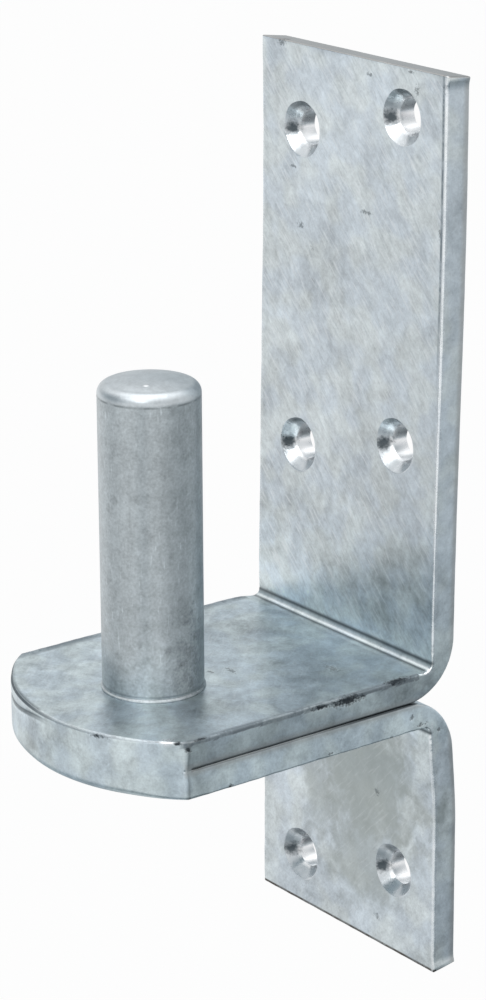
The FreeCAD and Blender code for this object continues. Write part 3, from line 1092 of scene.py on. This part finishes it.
def hingePin():
    radius = pin["radius"]
    top = pinHigh.z
    rimR = radius - pin["topRounding"]
    rimZ = top - pin["crownRise"]
    sideZ = rimZ - pin["topRounding"]
    underside = 2 * seamZ
    section = [(0, top)]
    for n in range(1, 15):
        r = rimR * n / 15
        section.append((r, top - pin["crownRise"] * (r / rimR) ** 2))
    section += arcPoints(rimR, sideZ, pin["topRounding"], 90, 0, 9)
    bead = pin["bead"]
    sideRows = 80
    foot = 0.75 * mm
    section += [(radius, sideZ - (sideZ - foot) * n / sideRows) for n in range(1, sideRows + 1)]
    section += [(radius - 0.06 * mm, 0.52 * mm), (radius - 0.02 * mm, 0.40 * mm)]
    section += arcPoints(radius + 0.05 * mm, 0.12 * mm, bead, 80, -30, 6)
    section += [(radius, -0.02 * mm), (pin["tenonRadius"], -0.02 * mm)]
    section += [(pin["tenonRadius"], underside + pin["rivetSeat"]), (pin["rivetRadius"], underside)]
    low = pinLow.z
    for n in range(1, 13):
        r = pin["rivetRadius"] * (1 - n / 13)
        section.append((r, low + (underside - low) * (r / pin["rivetRadius"]) ** 2))
    section.append((0, low))
    item = turned("hingePin", section, pin["around"])
    shapeBy(item, zincSkinTree, {"Finish": pinFinish, **skinValues(0.12)})
    finishSurface(item)
    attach(item, "root")
    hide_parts("hinge_pin")
    return item


upperBracket()
print("upper bracket made")
lowerBracket()
print("lower bracket made")
hingePin()
print("hinge pin made")
bpy.data.objects.remove(tool)

# Studio: a pale floor well below the part, a room that is white overhead and at table height and
# dimmer under the part, and a key light above the front
studio = {
    "floorZ": -0.33,
    "floorSize": 6.0,
    "floorGlow": 0.95,  # share of the floor that shows plain white, so its shadow stays faint
    "matteLevel": 0.80,  # room as matt surfaces get it
    "keyDirection": (0.45, -0.66, 0.60),
    "keyDistance": 0.9,
    "keySize": 0.22,
    "keyPower": 0.7,
}

# Room as polished metal sees it: height, as the sine of the elevation, and level
roomLevels = (
    (-1.00, 0.85),
    (-0.88, 0.70),
    (-0.78, 0.50),
    (-0.62, 0.54),
    (-0.50, 0.75),
    (-0.42, 0.88),
    (-0.31, 1.02),
    (-0.18, 1.26),
    (0.00, 1.22),
    (0.20, 0.86),
    (0.50, 0.83),
    (0.70, 1.15),
    (0.86, 1.75),
    (0.97, 2.20),
)

# Things round the part: direction, half angle where each is full, where it ends, and level. A
# level under 1 dims the room, one over 1 is a lamp's softbox.
dimThings = (
    ((-0.57, -0.75, 0.34), 12, 48, 0.50),  # front left
    ((-0.30, 0.90, 0.10), 15, 52, 0.55),  # behind
    ((-0.75, 0.55, -0.40), 8, 34, 0.80),  # left, under the table's edge
    ((0.51, 0.40, -0.77), 8, 62, 0.33),  # low on the right
    ((0.60, -0.76, -0.26), 4, 12, 0.45),  # the camera's stand
    ((0.25, -0.60, -0.75), 10, 24, 0.60),
    ((0.05, -0.70, 0.71), 10, 20, 1.9),  # softbox over the front
    ((-0.757, -0.314, 0.573), 7, 18, 1.5),  # and one at the left
)


def makeFloor():
    half = studio["floorSize"] / 2
    z = studio["floorZ"]
    floor = newMesh("floor", [(-half, -half, z), (half, -half, z), (half, half, z), (-half, half, z)], [(0, 1, 2, 3)])
    material = bpy.data.materials.new("pale floor")
    material.use_nodes = True
    book = NodeBook(material.node_tree)
    seen = seenRays(book)
    matt = book.node("ShaderNodeBsdfDiffuse", {}, (0.82, 0.82, 0.82, 1))
    white = book.node("ShaderNodeEmission", {}, (1, 1, 1, 1), 1.0)
    mixed = book.node("ShaderNodeMixShader", {}, seen * studio["floorGlow"], matt, white)
    book.node("ShaderNodeOutputMaterial", {}, mixed)
    floor.data.materials.append(material)
    floor.visible_glossy = False
    return floor


# 1 for rays from the camera, from gloss and through glass
def seenRays(book):
    rays = book.tree.nodes.new("ShaderNodeLightPath")
    camera = Wire(book, rays.outputs["Is Camera Ray"])
    glossy = Wire(book, rays.outputs["Is Glossy Ray"])
    through = Wire(book, rays.outputs["Is Transmission Ray"])
    return camera.most(glossy).most(through)


def makeWorld():
    world = bpy.data.worlds.new("white room")
    bpy.context.scene.world = world
    world.use_nodes = True
    book = NodeBook(world.node_tree)
    way = book.node("ShaderNodeTexCoord", output="Generated")
    rays = book.tree.nodes.new("ShaderNodeLightPath")
    camera = Wire(book, rays.outputs["Is Camera Ray"])
    seen = seenRays(book)

    def towards(direction):
        unit = Vector(direction).normalized()
        return book.node("ShaderNodeVectorMath", {"operation": "DOT_PRODUCT"}, way, tuple(unit), output="Value")

    height = towards((0, 0, 1))
    top = max(level for _, level in roomLevels)
    stops = [((sine + 1) / 2, (level / top,) * 3 + (1,)) for sine, level in roomLevels]
    room = book.node("ShaderNodeValToRGB", {"stops": stops}, height * 0.5 + 0.5) * top
    for direction, inner, outer, level in dimThings:
        share = book.step(towards(direction), math.cos(math.radians(outer)), math.cos(math.radians(inner)))
        room = room * (1 - share * (1 - level))
    level = camera.most(room * seen)
    level = level.most((1 - seen) * studio["matteLevel"])
    colour = book.mix(book.step(level, 0.35, 1.0), (0.88, 1.0, 1.07, 1), (1, 1, 1, 1))
    back = book.node("ShaderNodeBackground", {}, colour, level)
    book.node("ShaderNodeOutputWorld", {}, back)


def makeLamp(name, direction, distance, size, power):
    data = bpy.data.lights.new(name, "AREA")
    data.shape = "DISK"
    data.size = size
    data.energy = power
    lamp = bpy.data.objects.new(name, data)
    bpy.context.scene.collection.objects.link(lamp)
    middle = Vector((0, 0.01, 0.02))
    way = Vector(direction).normalized()
    lamp.location = middle + way * distance
    lamp.rotation_euler = way.to_track_quat("Z", "Y").to_euler()
    return lamp


# Camera where the photograph was taken from
view = {
    "azimuth": 52.909,
    "elevation": 18.329,
    "roll": -0.313,
    "place": (384.782 * mm, -273.170 * mm, 186.509 * mm),
    "lens": 116.635,
}


def makeCamera():
    az, el, roll = (math.radians(view[key]) for key in ("azimuth", "elevation", "roll"))
    back = Vector((math.sin(az) * math.cos(el), -math.cos(az) * math.cos(el), math.sin(el)))
    right = Vector((math.cos(az), math.sin(az), 0))
    up = back.cross(right)
    rolledRight = math.cos(roll) * right + math.sin(roll) * up
    rolledUp = math.cos(roll) * up - math.sin(roll) * right
    data = bpy.data.cameras.new("camera")
    data.sensor_width = 36
    data.lens = view["lens"]
    data.clip_start = 0.01
    camera = bpy.data.objects.new("camera", data)
    bpy.context.scene.collection.objects.link(camera)
    turn = Matrix((rolledRight, rolledUp, back)).transposed().to_4x4()
    camera.matrix_world = Matrix.Translation(view["place"]) @ turn
    bpy.context.scene.camera = camera


makeFloor()
makeWorld()
makeLamp("key", studio["keyDirection"], studio["keyDistance"], studio["keySize"], studio["keyPower"])
makeCamera()
bpy.context.scene.view_settings.view_transform = "Standard"
print("studio made")
